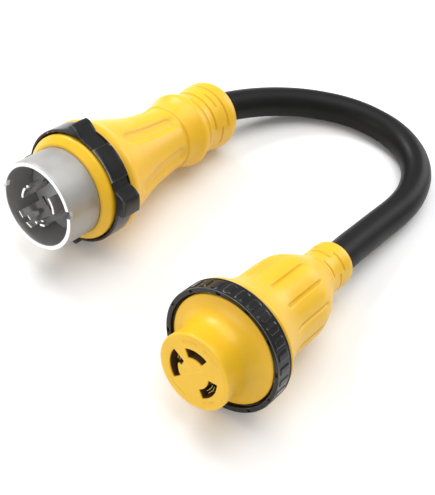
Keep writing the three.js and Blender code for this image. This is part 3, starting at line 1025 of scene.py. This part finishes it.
class ADAPTER_OT_plug_ring(bpy.types.Operator):
    """Build the plug's lobed locking ring"""

    bl_idname = "adapter.plug_ring"
    bl_label = "Plug ring"

    def execute(self, context):
        shape = plug_ring_shape()
        ring = finished("plug_ring_lobed", shape, PLUG, finish_for("black"))
        stand_for(ring, "plug_ring", "black_plastic", "plug_locking_ring")
        return {"FINISHED"}


class ADAPTER_OT_nose(bpy.types.Operator):
    """Build the connector's nose with its three slots, and the ticks on its face"""

    bl_idname = "adapter.nose"
    bl_label = "Connector nose"

    def execute(self, context):
        nose = finished("connector_nose", connector_front_shape(), CONNECTOR, finish_for("yellow"))
        stand_for(nose, "adapter", "yellow_plastic", "connector_front")
        # Painted shade: this dark block lines the slot walls, darkening them as the shade inside the slots.
        block = finished("connector_slot_shade_block", slot_shade_block_shape(), CONNECTOR, finish_for("carrier"))
        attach(block, "adapter")
        jaws = finished("connector_contact_jaws", contact_jaws_shape(), CONNECTOR, finish_for("brass"))
        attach(jaws, "adapter")
        marks = finished("connector_face_marks", face_marks_shape(), CONNECTOR, finish_for("yellow"))
        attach(marks, "adapter")
        return {"FINISHED"}


class ADAPTER_OT_connector_grip(bpy.types.Operator):
    """Build the connector's grooved grip and its strain relief"""

    bl_idname = "adapter.connector_grip"
    bl_label = "Connector grip and relief"

    def execute(self, context):
        grip = finished("connector_grip", connector_body_shape(), CONNECTOR, finish_for("yellow"))
        stand_for(grip, "adapter", "yellow_plastic", "connector_body")
        profile = [
            (16.9, 92.0), (15.9, 95), (15.4, 99), (15.3, 104), (15.4, 110), (15.5, 114.5),
            (15.0, 117), (14.2, 118.1),
        ]
        rows = (
            (95.4, 3, 55), (95.4, -76, -34), (102.4, -52, 12), (102.8, 54, 106), (107.6, 3, 57),
            (108, -76, -36),
        )
        shape = relief_shape(profile, rows, 11.2, 0.95)
        relief = finished("connector_relief", shape, CONNECTOR, finish_for("yellow"))
        stand_for(relief, "adapter", "yellow_plastic", "connector_strain_relief")
        return {"FINISHED"}


class ADAPTER_OT_connector_ring(bpy.types.Operator):
    """Build the connector's round locking ring"""

    bl_idname = "adapter.connector_ring"
    bl_label = "Connector ring"

    def execute(self, context):
        shape = connector_ring_shape()
        ring = finished("connector_ring_padded", shape, CONNECTOR, finish_for("black"))
        stand_for(ring, "connector_ring", "black_plastic", "connector_locking_ring")
        return {"FINISHED"}


class ADAPTER_OT_cord(bpy.types.Operator):
    """Build the cord between the two strain reliefs"""

    bl_idname = "adapter.cord"
    bl_label = "Cord"

    def execute(self, context):
        sizes = context.scene.adapter_sizes
        path = cord_path(140)
        shape = cord_mesh(path, sizes.cord_radius, sizes.cord_sides)
        cord = finished("cord_jacket", shape, Matrix.Identity(4), finish_for("cord"))
        wrap_map(cord, path, sizes.cord_length)
        stand_for(cord, "adapter", "cord_jacket", "cord")
        return {"FINISHED"}


class ADAPTER_OT_inner_finishes(bpy.types.Operator):
    """Give the inner pieces that keep their frame solids a proper finish"""

    bl_idname = "adapter.inner_finishes"
    bl_label = "Inner finishes"

    def execute(self, context):
        by_slot = {
            "plated_steel": "clamp",
            "inner_plastic": "carrier",
            "brass_contact": "brass",
            "washer_rubber": "washer",
            "cord_jacket": "washer",
            "lead_black": "lead black",
            "lead_white": "lead white",
            "lead_green": "lead green",
        }
        special = {"plug_insert": "insert"}
        for entry in frame["record"]["subparts"]:
            key = special.get(entry["node"]) or by_slot.get(entry["material_slot"])
            if key is None:
                continue
            node = frame["nodes"][entry["node"]]
            for material_slot in node.material_slots:
                material_slot.link = "OBJECT"
                material_slot.material = finish_for(key)
        return {"FINISHED"}


class ADAPTER_OT_stage(bpy.types.Operator):
    """Lay the pale floor, hang the soft lights and set up the camera"""

    bl_idname = "adapter.stage"
    bl_label = "Floor, lights and camera"

    def execute(self, context):
        scene = context.scene
        bm = bmesh.new()
        bmesh.ops.create_grid(bm, x_segments=1, y_segments=1, size=6.0)
        mesh = bpy.data.meshes.new("floor")
        bm.to_mesh(mesh)
        bm.free()
        floor = bpy.data.objects.new("floor", mesh)
        material = bpy.data.materials.new("pale floor")
        material.use_nodes = True
        shader = material.node_tree.nodes["Principled BSDF"]
        shader.inputs["Base Color"].default_value = (0.93, 0.93, 0.93, 1)
        shader.inputs["Roughness"].default_value = 0.75
        mesh.materials.append(material)
        scene.collection.objects.link(floor)

        world = bpy.data.worlds.new("studio")
        world.use_nodes = True
        world.node_tree.nodes["Background"].inputs["Color"].default_value = (1, 1, 1, 1)
        world.node_tree.nodes["Background"].inputs["Strength"].default_value = 0.5
        scene.world = world

        lights = (
            ("key", (-1.0, 0.25, 0.95), 0.5, 10.5),
            ("top", (0.0, 0.3, 1.4), 1.3, 12.0),
            ("front", (-0.35, -1.2, 0.6), 0.8, 5.5),
            ("back", (0.25, 1.3, 0.5), 0.7, 5.0),
        )
        for name, place, size, power in lights:
            lamp = bpy.data.lights.new(name, "AREA")
            lamp.shape = "DISK"
            lamp.size = size
            lamp.energy = power
            holder = bpy.data.objects.new(name, lamp)
            aim = Vector((0, 0.02, 0.03)) - Vector(place)
            facing = aim.to_track_quat("-Z", "Y").to_matrix().to_4x4()
            holder.matrix_world = Matrix.Translation(place) @ facing
            scene.collection.objects.link(holder)

        right, ahead = CAMERA_RIGHT, CAMERA_AHEAD
        up = right.cross(ahead)
        lens = bpy.data.cameras.new("camera")
        lens.sensor_fit = "HORIZONTAL"
        lens.sensor_width = 36
        lens.lens = CAMERA_LENS
        camera = bpy.data.objects.new("camera", lens)
        camera.matrix_world = Matrix((right, up, -ahead)).transposed().to_4x4()
        camera.location = CAMERA_PLACE
        scene.collection.objects.link(camera)
        scene.camera = camera
        scene.view_settings.view_transform = "Standard"
        scene.view_settings.look = "None"
        return {"FINISHED"}


class ADAPTER_PT_panel(bpy.types.Panel):
    """Lists the adapter's sizes, colours and building steps"""

    bl_idname = "ADAPTER_PT_panel"
    bl_label = "Dogbone adapter"
    bl_space_type = "VIEW_3D"
    bl_region_type = "UI"
    bl_category = "Adapter"

    def draw(self, context):
        for group in (context.scene.adapter_sizes, context.scene.adapter_finish):
            for key in group.__annotations__:
                self.layout.prop(group, key)
        for step in STEPS:
            self.layout.operator(step.bl_idname)


STEPS = (
    ADAPTER_OT_stage,
    ADAPTER_OT_cord,
    ADAPTER_OT_sleeve,
    ADAPTER_OT_blades,
    ADAPTER_OT_plug_grip,
    ADAPTER_OT_plug_ring,
    ADAPTER_OT_nose,
    ADAPTER_OT_connector_grip,
    ADAPTER_OT_connector_ring,
    ADAPTER_OT_inner_finishes,
)
CLASSES = (AdapterSizes, AdapterFinish, *STEPS, ADAPTER_PT_panel)


def register():
    for item in CLASSES:
        bpy.utils.register_class(item)
    bpy.types.Scene.adapter_sizes = bpy.props.PointerProperty(type=AdapterSizes)
    bpy.types.Scene.adapter_finish = bpy.props.PointerProperty(type=AdapterFinish)


def unregister():
    del bpy.types.Scene.adapter_finish
    del bpy.types.Scene.adapter_sizes
    for item in reversed(CLASSES):
        bpy.utils.unregister_class(item)


def main():
    register()
    for step in STEPS:
        area, name = step.bl_idname.split(".")
        getattr(getattr(bpy.ops, area), name)()


if __name__ == "__main__":
    main()
